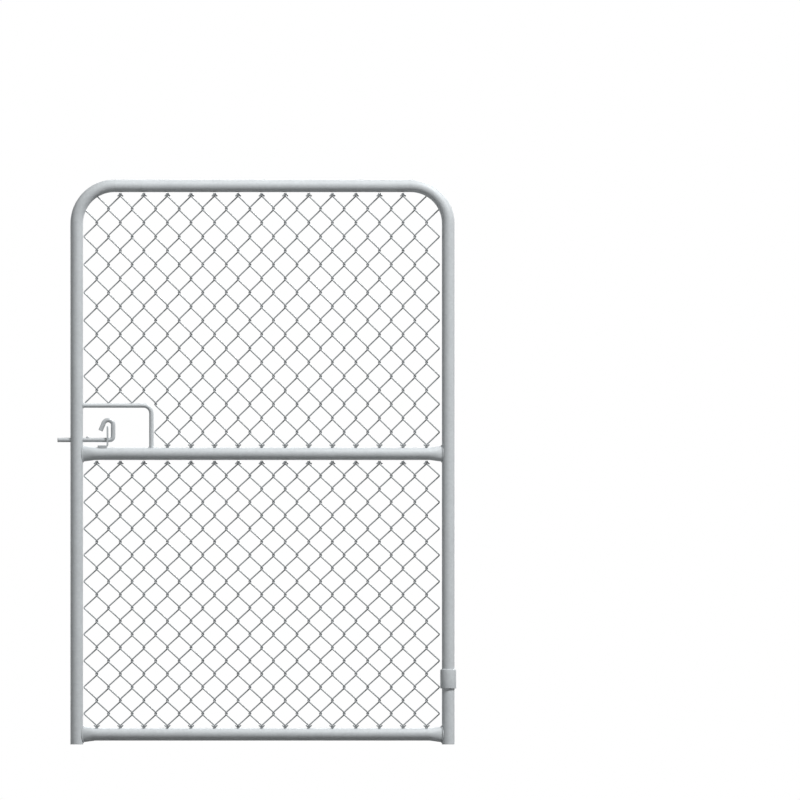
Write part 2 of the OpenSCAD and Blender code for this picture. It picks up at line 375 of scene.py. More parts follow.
def solid(name: str, points: Sequence[Vector], faces: Sequence[Face]) -> Piece:
    """Make one closed mesh with its faces outwards.

    Args:
        name: The new object's name.
        points: Its points.
        faces: Its faces, by the numbers of their points.

    Returns:
        The new object.
    """
    mesh = bpy.data.meshes.new(name)
    mesh.from_pydata([tuple(p) for p in points], [], faces)
    knit(mesh)
    thing = put(name, mesh)
    smooth(thing)
    return thing


def knit(mesh: bpy.types.Mesh) -> None:
    """Merge doubled points, drop empty faces and turn the faces outwards.

    Args:
        mesh: The mesh, which is changed.
    """
    work = bmesh.new()
    work.from_mesh(mesh)
    bmesh.ops.remove_doubles(work, verts=work.verts, dist=SAME_POINT)
    bmesh.ops.dissolve_degenerate(work, edges=work.edges, dist=SAME_POINT)
    bmesh.ops.recalc_face_normals(work, faces=work.faces)
    work.to_mesh(mesh)
    work.free()


def smooth(thing: Piece) -> None:
    """Shade a piece smooth, with its real edges left crisp."""
    thing.data.shade_smooth()
    thing.data.set_sharp_from_angle(angle=SHARP_ANGLE)


def settle(thing: Piece) -> Piece:
    """Turn a piece and its modifiers into a plain mesh.

    Args:
        thing: The object, whose modifiers are then gone.

    Returns:
        The same object.
    """
    graph = bpy.context.evaluated_depsgraph_get()
    plain = bpy.data.meshes.new_from_object(thing.evaluated_get(graph))
    plain.name = thing.name
    thing.modifiers.clear()
    thing.data = plain
    return thing


def dress(thing: Piece, finish: Finish, body: Body, *nodes: str) -> None:
    """Give a finished piece its surface and its body, and hide the frame's nodes that it stands
    for.

    Args:
        thing: The piece, at the origin with its place in its mesh.
        finish: The finish that it gets.
        body: The body that it moves with.
        nodes: The frame's nodes that it replaces.
    """
    metal: ZincFinish = finish.value
    thing.data.materials.clear()
    thing.data.materials.append(metal.material())
    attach(thing, body.value)
    if nodes:
        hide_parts(*nodes)
    LOG.info("%s: %d faces, on %s", thing.name, len(thing.data.polygons), body.value)


# ---- pieces that follow a path ----


@dataclass(frozen=True)
class Station:
    """A place along a bar's centre line, in the gate's plane, with its direction."""

    centre: Vector
    along: Vector

    @property
    def across(self) -> Vector:
        """The direction square to the bar in the gate's plane."""
        return self.along.cross(DEPTH).normalized()

    def ring(self, radius: float, sides: int) -> Ring:
        """Place a ring round the centre line, with that many points."""
        return [
            self.centre + self.across * (radius * cos) + DEPTH * (radius * sin)
            for cos, sin in circle(sides)
        ]

    def moved(self, distance: float) -> "Station":
        """Return the station that far further along its own direction."""
        return Station(self.centre + self.along * distance, self.along)


@dataclass
class BarPath:
    """A centre line in the gate's plane, drawn out of straights and arcs."""

    stations: list[Station]

    @classmethod
    def start(cls, x: float, z: float, along: Vector) -> "BarPath":
        """Begin a path at that place in the gate's plane, in that direction."""
        return cls([Station(Vector((x, 0.0, z)), along)])

    def straight(self, length: float) -> "BarPath":
        """Add a straight run of that length."""
        self.stations.append(self.stations[-1].moved(length))
        return self

    def arc(self, radius: float, turn: float, steps: int) -> "BarPath":
        """Add an arc.

        Args:
            radius: Its radius to the centre line.
            turn: How far it turns in radians, positive from X towards Z.
            steps: How many stations it adds.

        Returns:
            The path itself.
        """
        first = self.stations[-1]
        inwards = math.copysign(radius, turn)
        middle = first.centre + Vector((-first.along.z, 0.0, first.along.x)) * inwards
        for cos, sin in sweep(turn, steps)[1:]:
            x = first.along.x * cos - first.along.z * sin
            z = first.along.x * sin + first.along.z * cos
            centre = middle - Vector((-z, 0.0, x)) * inwards
            self.stations.append(Station(centre, Vector((x, 0.0, z))))
        return self

    def rings(self, radius: float, sides: int, edge: float = 0.0) -> list[Ring]:
        """Place round rings along the path.

        Args:
            radius: Their radius.
            sides: How many points each has.
            edge: The bevel of the two ends' rims, which is negative in a bore.

        Returns:
            The rings.
        """
        first, *between, last = self.stations
        between = [first.moved(abs(edge)), *between, last.moved(-abs(edge))]
        rings = [station.ring(radius, sides) for station in between]
        if edge:
            rings.insert(0, first.ring(radius - edge, sides))
            rings.append(last.ring(radius - edge, sides))
        return rings

    def bar(self, name: str, radius: float, sides: int, edge: float = 0.0) -> Piece:
        """Build a solid round bar along the path, with its ends' rims bevelled."""
        caps = [self.stations[0].centre, self.stations[-1].centre]
        return shell(name, self.rings(radius, sides, edge), caps)


def drill(
    thing: Piece, start_x: float, depth: float, holes: Sequence[Pair], sides: int
) -> None:
    """Drill round holes through a piece, along the gate, and leave it a plain mesh.

    Args:
        thing: The piece.
        start_x: Where the drills start.
        depth: How far they go.
        holes: Each hole's height and radius.
        sides: How many sides a drill has.
    """
    starts = [(BarPath.start(start_x, z, ALONG), r) for z, r in holes]
    drills = [start.straight(depth).bar("drill", r, sides) for start, r in starts]
    for tool in drills:
        bite = thing.modifiers.new("cut", "BOOLEAN")
        bite.operation = "DIFFERENCE"
        bite.solver = "EXACT"
        bite.object = tool
    knit(settle(thing).data)
    for tool in drills:
        bpy.data.objects.remove(tool)


@dataclass
class DrawnRound:
    """Round stock that a Geometry Nodes tree draws along lines.

    Its values are the tree's named inputs, which always have "Radius", "Sides" and "Metal".
    """

    title: str
    values: dict[str, float | int | bpy.types.Material]

    def __post_init__(self) -> None:
        """Start the tree with its named inputs, and make its lines a curve."""
        tree = bpy.data.node_groups.new(self.title, "GeometryNodeTree")
        face, whole = tree.interface, "NodeSocketGeometry"
        kinds = {float: "NodeSocketFloat", int: "NodeSocketInt"}
        face.new_socket(name="Geometry", in_out="INPUT", socket_type=whole)
        for label, value in self.values.items():
            kind = kinds.get(type(value), "NodeSocketMaterial")
            face.new_socket(name=label, in_out="INPUT", socket_type=kind)
        face.new_socket(name="Geometry", in_out="OUTPUT", socket_type=whole)
        self.work = NodeWork(tree)
        self.given = self.work.add("NodeGroupInput")
        line = {"Mesh": self.given["Geometry"]}
        self.curve = self.work.add("GeometryNodeMeshToCurve", line)["Curve"]

    def draw(
        self,
        name: str,
        lines: Sequence[Sequence[Vector]],
        curve: Socket,
        closed: bool = False,
        scale: Given = 1.0,
    ) -> Piece:
        """Draw the round section along lines and keep the plain mesh that comes out.

        Args:
            name: The new object's name.
            lines: The points of each line.
            curve: The socket that holds the shaped curve.
            closed: Whether each line ends where it starts.
            scale: How much the section swells along the curve.

        Returns:
            The new object.
        """
        work, given = self.work, self.given
        size = {"Resolution": given["Sides"], "Radius": given["Radius"]}
        section = work.add("GeometryNodeCurvePrimitiveCircle", size)["Curve"]
        stock = {"Curve": curve, "Profile Curve": section, "Scale": scale, "Fill Caps": True}
        shape = work.add("GeometryNodeCurveToMesh", stock)["Mesh"]
        shape = work.add("GeometryNodeSetShadeSmooth", {"Geometry": shape})["Geometry"]
        shape = work.add("GeometryNodeRealizeInstances", {"Geometry": shape})["Geometry"]
        metal = {"Geometry": shape, "Material": given["Metal"]}
        shape = work.add("GeometryNodeSetMaterial", metal)["Geometry"]
        work.add("NodeGroupOutput", {"Geometry": shape})
        points = [tuple(p) for line in lines for p in line]
        edges: list[Face] = []
        first = 0
        for line in lines:
            last = first + len(line) - 1
            edges += [(i, i + 1) for i in range(first, last)]
            if closed:
                edges.append((last, first))
            first = last + 1
        mesh = bpy.data.meshes.new(name)
        mesh.from_pydata(points, edges, [])
        thing = put(name, mesh)
        run = thing.modifiers.new(self.title, "NODES")
        run.node_group = work.tree
        for item in work.tree.interface.items_tree:
            if item.in_out == "INPUT" and item.name in self.values:
                run[item.identifier] = self.values[item.name]
        return settle(thing)


@dataclass
class WireForming:
    """How straight wire is bent to a row of corner points and given its round section."""

    wire_r: float
    bend_r: float
    finish: Finish
    bend_steps: int = 3
    sides: int = 8
    end_angle: float = math.radians(60)

    def form(self, name: str, lines: Sequence[Sequence[Vector]]) -> Piece:
        """Bend wires along lines.

        Args:
            name: The new object's name.
            lines: The corner points of each wire.

        Returns:
            The wires as one plain mesh.
        """
        values = {
            "Radius": self.wire_r,
            "Bend radius": self.bend_r,
            "Bend steps": self.bend_steps,
            "Sides": self.sides,
            "Metal": self.finish.value.material(),
        }
        stock = DrawnRound("bend_wires", values)
        bends = {
            "Curve": stock.curve,
            "Count": stock.given["Bend steps"],
            "Radius": stock.given["Bend radius"],
            "Limit Radius": True,
        }
        bent = stock.work.add("GeometryNodeFilletCurve", bends, mode="POLY")["Curve"]
        wires = stock.draw(name, lines, bent)
        wires.data.set_sharp_from_angle(angle=self.end_angle)
        return wires


@dataclass(frozen=True)
class WeldBead:
    """A rippled bead of weld that follows a joint."""

    bead_r: float = 1.5 * MM
    ripple: float = 0.08
    ripple_step: float = 2.0 * MM
    spacing: float = 0.45 * MM
    sides: int = 8

    def lay(self, name: str, line: Sequence[Vector], closed: bool = True) -> None:
        """Lay the bead along a line and dress it.

        Args:
            name: The new object's name.
            line: The joint's points.
            closed: Whether the bead runs all the way round.
        """
        values = {
            "Radius": self.bead_r,
            "Ripple": self.ripple,
            "Ripple step": self.ripple_step,
            "Spacing": self.spacing,
            "Sides": self.sides,
            "Metal": Finish.WELD.value.material(),
        }
        stock = DrawnRound("lay_bead", values)
        work, given = stock.work, stock.given
        spacing = {"Curve": stock.curve, "Length": given["Spacing"]}
        even = work.add("GeometryNodeResampleCurve", spacing, mode="LENGTH")["Curve"]
        gone = work.add("GeometryNodeSplineParameter")["Length"]
        turns = work.maths("DIVIDE", gone, given["Ripple step"])
        wave = work.maths("SINE", work.maths("MULTIPLY", turns, math.tau))
        width = work.maths("ADD", work.maths("MULTIPLY", wave, given["Ripple"]), 1.0)
        dress(stock.draw(name, [line], even, closed, width), Finish.WELD, Body.LEAF)


# ---- the gate's sizes ----


@dataclass(frozen=True)
class GateSizes:
    """The places and outside sizes that the sub-assemblies share."""

    latch_x: float
    tube_r: float
    foot_z: float
    corner_z: float
    top_z: float
    mid_z: float
    bolt_r: float
    bolt_z: float
    wall: float = 2.6 * MM
    hole_play: float = 0.75 * MM

    @classmethod
    def from_frame(cls) -> "GateSizes":
        """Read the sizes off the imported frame.

        Returns:
            The gate's sizes.
        """
        stile_low, stile_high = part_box("hinge_stile")
        bolt_r = spread("slide_bolt", Axis.Y)[1]
        return cls(
            latch_x=spread("latch_stile", Axis.X)[0],
            tube_r=spread("hinge_stile", Axis.Y)[1],
            foot_z=stile_low.z,
            corner_z=stile_high.z,
            top_z=spread("top_rail", Axis.Z)[0],
            mid_z=spread("middle_rail", Axis.Z)[0],
            bolt_r=bolt_r,
            bolt_z=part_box("slide_bolt")[0].z + bolt_r,
        )

    @property
    def corner_r(self) -> float:
        """The radius of the top corners, to the tube's centre."""
        return self.top_z - self.corner_z

    @property
    def corner_room(self) -> float:
        """The radius of the top corners, to the tube's inside."""
        return self.corner_r - self.tube_r

    @property
    def bolt_hole_r(self) -> float:
        """The radius of the holes that the bolt slides in."""
        return self.bolt_r + self.hole_play

    def stile_x(self, side: Side) -> float:
        """Return the middle of that end's stile."""
        return self.latch_x if side is Side.LATCH else 0.0


# ---- the frame of tubes ----


@dataclass
class TubeFrame:
    """The bent tube: two stiles, two corners and the top rail."""

    sizes: GateSizes
    edge: float = 0.35 * MM
    sides: int = 72
    corner_steps: int = 30
    hole_sides: int = 48

    def build(self) -> None:
        """Build and dress the five lengths of the bent tube."""
        s = self.sizes
        rise, run = s.corner_z - s.foot_z, -s.latch_x - 2 * s.corner_r
        corner = BarPath.start(s.latch_x, s.corner_z, UP)
        far_corner = BarPath.start(0, s.corner_z, UP)
        paths = {
            "latch_stile": BarPath.start(s.latch_x, s.foot_z, UP).straight(rise),
            "hinge_stile": BarPath.start(0, s.foot_z, UP).straight(rise),
            "latch_corner_bend": corner.arc(s.corner_r, -QUARTER, self.corner_steps),
            "hinge_corner_bend": far_corner.arc(s.corner_r, QUARTER, self.corner_steps),
            "top_rail": BarPath.start(s.latch_x + s.corner_r, s.top_z, ALONG).straight(run),
        }
        for node, path in paths.items():
            outside = path.rings(s.tube_r, self.sides, self.edge)
            bore = path.rings(s.tube_r - s.wall, self.sides, -self.edge)
            tube = shell(node.removesuffix("_bend") + "_tube", outside + bore[::-1])
            if node == "latch_stile":
                hole = (s.bolt_z, s.bolt_hole_r)
                drill(tube, s.latch_x - 1.5 * s.tube_r, 3 * s.tube_r, [hole], self.hole_sides)
                smooth(tube)
            dress(tube, Finish.FRAME_TUBE, Body.LEAF, node)


@dataclass
class CrossRail:
    """A rail between the stiles, with its ends pressed to an oval and fitted to them."""

    sizes: GateSizes
    node: str
    press_len: float = 33 * MM
    press_deep: float = 0.66
    press_steps: int = 14
    press_ease: float = 1.2
    fitting_passes: int = 3
    sides: int = 72
    bead: WeldBead = WeldBead()
    bead_off: float = 0.45
    bead_steps: int = 96

    def __post_init__(self) -> None:
        """Read the rail's height and its pressed ends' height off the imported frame."""
        self.z, half = spread(self.node, Axis.Z)
        self.press_tall = half / self.sizes.tube_r

    def build(self) -> None:
        """Build the rail, dress it and weld its ends."""
        outside, bore = (
            self.pressed(Side.LATCH, inset) + self.pressed(Side.HINGE, inset)[::-1]
            for inset in (0.0, self.sizes.wall)
        )
        rail = shell(self.node + "_tube", outside + bore[::-1])
        dress(rail, Finish.FRAME_TUBE, Body.LEAF, self.node)
        for side in Side:
            self.bead.lay(f"{self.node}_weld_{side.name.lower()}", self.joint(side))

    def section(self, inwards: float, inset: float = 0.0) -> Pair:
        """Size the oval at a distance from the stile.

        Args:
            inwards: The distance.
            inset: How far inside the tube's outer surface the oval lies.

        Returns:
            The oval's half height and half depth.
        """
        r, share = self.sizes.tube_r, min(1.0, max(0.0, inwards / self.press_len))
        tall, deep = (p + (1 - p) * share for p in (self.press_tall, self.press_deep))
        return r * tall - inset, r * deep - inset

    def pressed(self, side: Side, inset: float) -> list[Ring]:
        """Shape one pressed end.

        Args:
            side: Which end.
            inset: How far inside the tube's outer surface, which is its wall for the bore.

        Returns:
            The rings from the stile to where the tube is round.
        """
        s = self.sizes
        seat_r = s.tube_r + SEAT
        rings: list[Ring] = []
        for k in range(self.press_steps + 1):
            share = (k / self.press_steps) ** self.press_ease
            ring: Ring = []
            for cos, sin in circle(self.sides):
                run = share * self.press_len
                for _ in range(self.fitting_passes):
                    tall, deep = self.section(run, inset)
                    dip = seat_r - reach(seat_r, deep * sin)
                    run = share * self.press_len + (1 - share) * (SEAT - dip)
                x = s.stile_x(side) + side.value * (s.tube_r + run)
                ring.append(Vector((x, deep * sin, self.z + tall * cos)))
            rings.append(ring)
        return rings

    def joint(self, side: Side) -> Ring:
        """Return the line round the end's oval, on the stile's surface.

        Args:
            side: Which end.

        Returns:
            The line's points.
        """
        off = self.bead_off * self.bead.bead_r
        tall, deep = self.section(0.0)
        line = saddle(self.sizes.tube_r + off, tall + off, deep + off, self.bead_steps)
        stile_x = self.sizes.stile_x(side)
        return [Vector((stile_x + side.value * out, y, self.z + up)) for out, y, up in line]


# ---- the hand hole and the bolt ----


@dataclass
class HandHoleBar:
    """The bent round bar that frames the hand hole above the middle rail."""

    sizes: GateSizes
    bend_r: float = 21 * MM
    bend_steps: int = 14
    sides: int = 40
    bead: WeldBead = WeldBead(bead_r=1.3 * MM)
    bead_off_bar: float = 0.4
    bead_off_tube: float = 0.3
    bead_steps: int = 64

    def build(self) -> None:
        """Build the bar, dress it and weld its ends to the stile and the rail."""
        s = self.sizes
        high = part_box("hand_hole_bar")[1]
        r = spread("hand_hole_bar", Axis.Y)[1]
        x, z = high.x - r, high.z - r
        path = BarPath.start(s.latch_x, z, ALONG)
        path.straight(x - self.bend_r - s.latch_x)
        path.arc(self.bend_r, -QUARTER, self.bend_steps)
        path.straight(z - self.bend_r - s.mid_z)
        rings = path.rings(r, self.sides)
        seat_r = s.tube_r + SEAT
        for at_stile, at_rail in zip(rings[0], rings[-1]):
            at_stile.x += reach(seat_r, at_stile.y)
            at_rail.z += reach(seat_r, at_rail.y)
        first, last = path.stations[0].centre, path.stations[-1].centre
        bar = shell("hand_hole_bar_rod", rings, [first + ALONG * seat_r, last + UP * seat_r])
        dress(bar, Finish.HAND_BAR, Body.LEAF, "hand_hole_bar")
        fat = r + self.bead_off_bar * self.bead.bead_r
        off = self.bead_off_tube * self.bead.bead_r
        line = saddle(seat_r + off, fat, fat, self.bead_steps)
        at_stile = [Vector((s.latch_x + out, y, z + side)) for out, y, side in line]
        at_rail = [Vector((x + side, y, s.mid_z + out)) for out, y, side in line]
        self.bead.lay("hand_hole_weld_stile", at_stile)
        self.bead.lay("hand_hole_weld_rail", at_rail)


@dataclass
class SlideBolt:
    """The bolt's round bar, bent up into a handle and over into a hook."""

    sizes: GateSizes
    foot_r: float = 9 * MM
    foot_steps: int = 12
    hook_r: float = 13 * MM
    hook_turn: float = math.radians(157)
    hook_steps: int = 22
    hook_end: float = 22 * MM
    edge: float = 0.8 * MM
    sides: int = 40

    def build(self) -> None:
        """Build and dress the bar."""
        s = self.sizes
        low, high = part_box("slide_bolt")
        handle_x, hook_z = high.x - s.bolt_r, high.z - s.bolt_r - self.hook_r
        path = BarPath.start(low.x, s.bolt_z, ALONG)
        path.straight(handle_x - self.foot_r - low.x)
        path.arc(self.foot_r, QUARTER, self.foot_steps)
        path.straight(hook_z - s.bolt_z - self.foot_r)
        path.arc(self.hook_r, self.hook_turn, self.hook_steps)
        path.straight(self.hook_end)
        bar = path.bar("slide_bolt_rod", s.bolt_r, self.sides, self.edge)
        dress(bar, Finish.BOLT_STEEL, Body.BOLT, "slide_bolt")


@dataclass
class StopPin:
    """The domed pin on top of the bolt, which stops it at the latch stile."""

    sizes: GateSizes
    sink: float = 0.5 * MM
    foot_gap: float = 0.05 * MM
    steps: int = 10
    sides: int = 40
    widest_angle: float = 0.6 * math.pi
    halvings: int = 30

    def build(self) -> None:
        """Build and dress the dome, with its foot fitted to the bolt."""
        s = self.sizes
        crown_z = s.bolt_z + s.bolt_r
        middle = Vector((spread("bolt_stop_pin", Axis.X)[0], 0, crown_z - self.sink))
        dome_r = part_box("bolt_stop_pin")[1].z - middle.z
        around = circle(self.sides)
        feet = [self.foot_angle(sin, dome_r, middle.z - s.bolt_z) for _, sin in around]
        rings: list[Ring] = []
        for k in range(1, self.steps + 1):
            ring: Ring = []
            for (cos, sin), foot in zip(around, feet):
                out = dome_r * math.sin(foot * k / self.steps)
                up = dome_r * math.cos(foot * k / self.steps)
                ring.append(middle + Vector((out * cos, out * sin, up)))
            rings.append(ring)
        caps = [middle + UP * dome_r, Vector((middle.x, 0, crown_z))]
        dress(shell("bolt_stop_dome", rings, caps), Finish.BOLT_STEEL, Body.BOLT, "bolt_stop_pin")

    def foot_angle(self, around: float, dome_r: float, lift: float) -> float:
        """Find where the dome meets the bolt.

        Args:
            around: The sine of the direction round the dome.
            dome_r: The dome's radius.
            lift: The dome's centre above the bolt's.

        Returns:
            The angle down from the dome's top.
        """
        near, far = 0.0, self.widest_angle
        for _ in range(self.halvings):
            middle = (near + far) / 2
            y = dome_r * math.sin(middle) * around
            z = lift + dome_r * math.cos(middle)
            if math.hypot(y, z) > self.sizes.bolt_r + self.foot_gap:
                near = middle
            else:
                far = middle
        return near


@dataclass
class PadlockTab:
    """The bent plate on the middle rail that the bolt passes through and a padlock locks."""

    sizes: GateSizes
    thickness: float = 5 * MM
    bend_steps: int = 12
    lock_r: float = 4.5 * MM
    lock_down: float = 12 * MM
    hole_sides: int = 40
    edge: float = 0.45 * MM
    edge_steps: int = 2
    edge_angle: float = math.radians(40)
    weld_in: float = 1.6 * MM
    weld_start: float = 1.5 * MM
    bead: WeldBead = WeldBead(bead_r=1.65 * MM)

    @property
    def bend_r(self) -> float:
        """The radius of the plate's bend, on its outside."""
        return 1.5 * self.thickness

    def build(self) -> None:
        """Build the plate, drill it, dress it and weld its foot to the rail."""
        s, t = self.sizes, self.thickness
        low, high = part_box("padlock_tab")
        plate = self.plate(low, high)
        holes = [(s.bolt_z, s.bolt_hole_r), (high.z - self.lock_down, self.lock_r)]
        drill(plate, high.x - 2 * t, 3 * t, holes, self.hole_sides)
        trim = plate.modifiers.new("edges", "BEVEL")
        trim.width = self.edge
        trim.segments = self.edge_steps
        trim.limit_method = "ANGLE"
        trim.angle_limit = self.edge_angle
        trim.harden_normals = False
        smooth(settle(plate))
        dress(plate, Finish.TAB_PLATE, Body.LEAF, "padlock_tab")
        for label, y in (("front", low.y + self.weld_in), ("back", high.y - self.weld_in)):
            z = (s.mid_z + reach(s.tube_r, y) + low.z) / 2
            ends = (low.x + self.weld_start, high.x - self.bend_r)
            line = [Vector((x, y, z)) for x in ends]
            self.bead.lay(f"padlock_tab_weld_{label}", line, closed=False)

    def plate(self, low: Vector, high: Vector) -> Piece:
        """Build the bent plate with its rounded top.

        Args:
            low: The plate's lowest corner.
            high: The plate's highest corner.

        Returns:
            The plate, undrilled.
        """
        t, bend_r = self.thickness, self.bend_r
        half = (high.y - low.y) / 2
        round_r = half / 2
        knee = Vector((high.x - bend_r, 0, low.z + bend_r))
        rows = [(Vector((low.x, 0, low.z + t)), Vector((low.x, 0, low.z)), half)]
        for cos, sin in sweep(QUARTER, self.bend_steps):
            out = Vector((sin, 0, -cos))
            rows.append((knee + out * (bend_r - t), knee + out * bend_r, half))
        for cos, sin in sweep(QUARTER, self.bend_steps):
            z, width = high.z - round_r + round_r * sin, half - round_r + round_r * cos
            rows.append((Vector((high.x - t, 0, z)), Vector((high.x, 0, z)), width))
        points: list[Vector] = []
        for inner, outer, width in rows:
            side = DEPTH * width
            points += [inner - side, outer - side, outer + side, inner + side]
        first, last = (0, 1, 2, 3), tuple(range(len(points) - 4, len(points)))
        return solid("padlock_tab_plate", points, [first, *bands(len(rows), 4), last])


@dataclass
class HingeCollar:
    """The collar on the hinge stile, whose underside sits on the post's hinge."""

    sizes: GateSizes
    edge: float = 1.0 * MM
    edge_steps: int = 4
    bore_edge: float = 0.3 * MM
    sides: int = 72
    bead: WeldBead = WeldBead(bead_r=1.4 * MM)
    bead_out: float = 0.3
    bead_up: float = 0.15
    bead_steps: int = 96

    def build(self) -> None:
        """Build and dress the collar, and weld its upper rim."""
        low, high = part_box("hinge_collar")
        bore, rim = self.sizes.tube_r + SEAT, self.bore_edge
        e = self.edge
        out = spread("hinge_collar", Axis.Y)[1] - e
        arc = sweep(QUARTER, self.edge_steps)
        profile = [(bore, low.z + rim), (bore + rim, low.z)]
        profile += [(out + e * sin, low.z + e - e * cos) for cos, sin in arc]
        profile += [(out + e * cos, high.z - e + e * sin) for cos, sin in arc]
        profile += [(bore + rim, high.z), (bore, high.z - rim)]
        rings = [Station(UP * z, UP).ring(r, self.sides) for r, z in profile]
        dress(shell("hinge_collar_ring", rings), Finish.COLLAR, Body.LEAF, "hinge_collar")
        joint = Station(UP * (high.z + self.bead_up * self.bead.bead_r), UP)
        line = joint.ring(bore + self.bead_out * self.bead.bead_r, self.bead_steps)
        self.bead.lay("hinge_collar_weld", line)


# ---- the woven mesh ----


@dataclass
class WovenPanel:
    """A panel of chain-link: flattened spirals of wire, each hooked to the next.

    Each wire's right-falling legs run in front and its left-falling legs behind. It turns
    at two columns in turn, and each turn hooks round the next wire's. Its two ends are
    folded back beside their own legs. The first wires may end over the hand hole.
    """

    sizes: GateSizes
    node_prefix: str
    rows: int
    hole_wires: int = 0
    hole_top: float = 0.0
    wires: int = 30
    groups: int = 5
    wire_r: float = 1.9 * MM
    leg_depth: float = 3.0 * MM
    drop: float = 3.0 * MM
    tail_len: float = 13 * MM
    tail_offset: float = 4.3 * MM
    tail_gap: float = 0.3 * MM
    bend_r: float = 2.7 * MM
    fold_round: float = 1.1 * MM
    hook_gap: float = 0.15 * MM
    corner_bite: float = 0.1 * MM
    landing_share: float = 0.6

    def __post_init__(self) -> None:
        """Name the panel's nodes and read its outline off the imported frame."""
        self.nodes = [f"{self.node_prefix}_{group + 1}" for group in range(self.groups)]
        lows, highs = zip(*(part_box(node) for node in self.nodes))
        self.low = Vector([min(corner[axis] for corner in lows) for axis in Axis])
        self.high = Vector([max(corner[axis] for corner in highs) for axis in Axis])

    def build(self) -> None:
        """Weave the panel and dress it, one piece for each group of wires."""
        forming = WireForming(self.wire_r, self.bend_r, Finish.MESH_WIRE)
        per_group = self.wires // self.groups
        for group, node in enumerate(self.nodes):
            first = group * per_group
            lines = [self.wire(p) for p in range(first, first + per_group)]
            piece = forming.form(f"{node}_weave", lines)
            dress(piece, Finish.MESH_WIRE, Body.LEAF, node)

    @property
    def half_hook(self) -> float:
        """Half the distance between two hooked turns."""
        return self.wire_r + self.hook_gap

    @property
    def side_room(self) -> float:
        """The distance from the panel's outline to its first and last column."""
        return self.half_hook + self.wire_r

    @property
    def end_room(self) -> float:
        """The distance from the panel's outline to its highest and lowest turns."""
        return self.tail_rise - self.fold_round + self.wire_r - self.drop / 2

    @property
    def step(self) -> float:
        """The height between a wire's turns."""
        return (self.high.z - self.low.z - 2 * self.end_room) / (2 * self.rows)

    @property
    def pitch(self) -> float:
        """The distance between columns."""
        return (self.high.x - self.low.x - 2 * self.side_room) / self.wires

    @property
    def tail_depth(self) -> float:
        """How far the folded ends lie from the panel's middle plane."""
        return self.leg_depth + 2 * self.wire_r + self.tail_gap

    @property
    def tail_rise(self) -> float:
        """How far past a leg's end its wire folds back."""
        fall, run = (self.high.z - self.low.z) / (2 * self.rows), self.pitch + 2 * self.half_hook
        return self.tail_offset * math.sqrt(1 + (fall / run) ** 2)

    def side(self, p: int, j: int) -> int:
        """Return which way wire p turns at node j: 1 is right and -1 is left."""
        return 1 if (p + j) % 2 == 0 else -1

    def turn(self, p: int, j: int) -> tuple[Vector, Vector]:
        """Place one turn.

        Args:
            p: The wire's number.
            j: The node's number, counted from the top.

        Returns:
            Where the wire comes in and where it goes out.
        """
        side = self.side(p, j)
        column = p + 1 if side > 0 else p
        x = self.low.x + self.side_room + column * self.pitch + side * self.half_hook
        z = self.high.z - self.end_room - j * self.step
        return (
            Vector((x, -side * self.leg_depth, z + self.drop / 2)),
            Vector((x, side * self.leg_depth, z - self.drop / 2)),
        )

    def last_node(self, p: int) -> int:
        """Return the last node that wire p turns at in full, counted from the top."""
        fall = self.turn(p, 0)[1].z - self.hole_top - self.wire_r
        return int(fall / self.step) if p < self.hole_wires else 2 * self.rows

    def corner_x(self, point: Vector) -> float:
        """Return the place along the gate of the nearer round corner's centre."""
        s = self.sizes
        return s.latch_x + s.corner_r if point.x < s.latch_x / 2 else -s.corner_r

    def beyond_corner(self, point: Vector) -> bool:
        """Tell whether a point lies past the inside of the nearer round corner.

        Args:
            point: The point.

        Returns:
            Whether a wire there would run into the corner.
        """
        s, x = self.sizes, self.corner_x(point)
        dx = (x - point.x) * (1 if x < s.latch_x / 2 else -1)
        dz = point.z - s.corner_z
        return dx > 0 and dz > 0 and math.hypot(dx, dz) + self.wire_r > s.corner_room

    def corner_end(self, start: Vector, towards: Vector) -> Vector:
        """Cut a leg where it meets the round corner.

        Args:
            start: The leg's end inside the frame.
            towards: The leg's end beyond the corner.

        Returns:
            The leg's new end, on the corner's inside.
        """
        run = towards - start
        from_middle = start - Vector((self.corner_x(start), 0, self.sizes.corner_z))
        run.y = from_middle.y = 0.0
        a = run.length_squared
        b = run.dot(from_middle)
        c = from_middle.length_squared - (self.sizes.corner_room + self.corner_bite) ** 2
        share = min(1.0, (-b + math.sqrt(max(0.0, b * b - a * c))) / a)
        return start + (towards - start) * share

    def folded_end(self, p: int, j: int, end: End) -> list[Vector]:
        """Fold a wire's end back beside its own leg.

        Args:
            p: The wire's number.
            j: The end's node.
            end: Which end.

        Returns:
            The points from the wire's tip to its leg.
        """
        up = end.value
        way_out, way_in = (1, 0) if end is End.TOP else (0, 1)
        start = self.turn(p, j)[way_out]
        leg = (self.turn(p, j + up)[way_in] - start).normalized()
        back = -up * self.side(p, j) * (self.leg_depth + self.tail_depth)
        fold = start + Vector((0, back, up * self.tail_rise))
        return [fold + leg * self.tail_len, fold, start]

    def upper_end(self, p: int) -> tuple[int, list[Vector]]:
        """Start a wire at the top rail, or at a round corner.

        Args:
            p: The wire's number.

        Returns:
            Its first node inside the frame, and the points up to that node's way out.
        """
        points = self.folded_end(p, 0, End.TOP)
        if not self.beyond_corner(points[1]):
            return 0, points
        j = 1
        while self.beyond_corner(self.turn(p, j)[0]):
            j += 1
        turn_in, turn_out = self.turn(p, j)
        return j, [self.corner_end(turn_in, self.turn(p, j - 1)[1]), turn_in, turn_out]

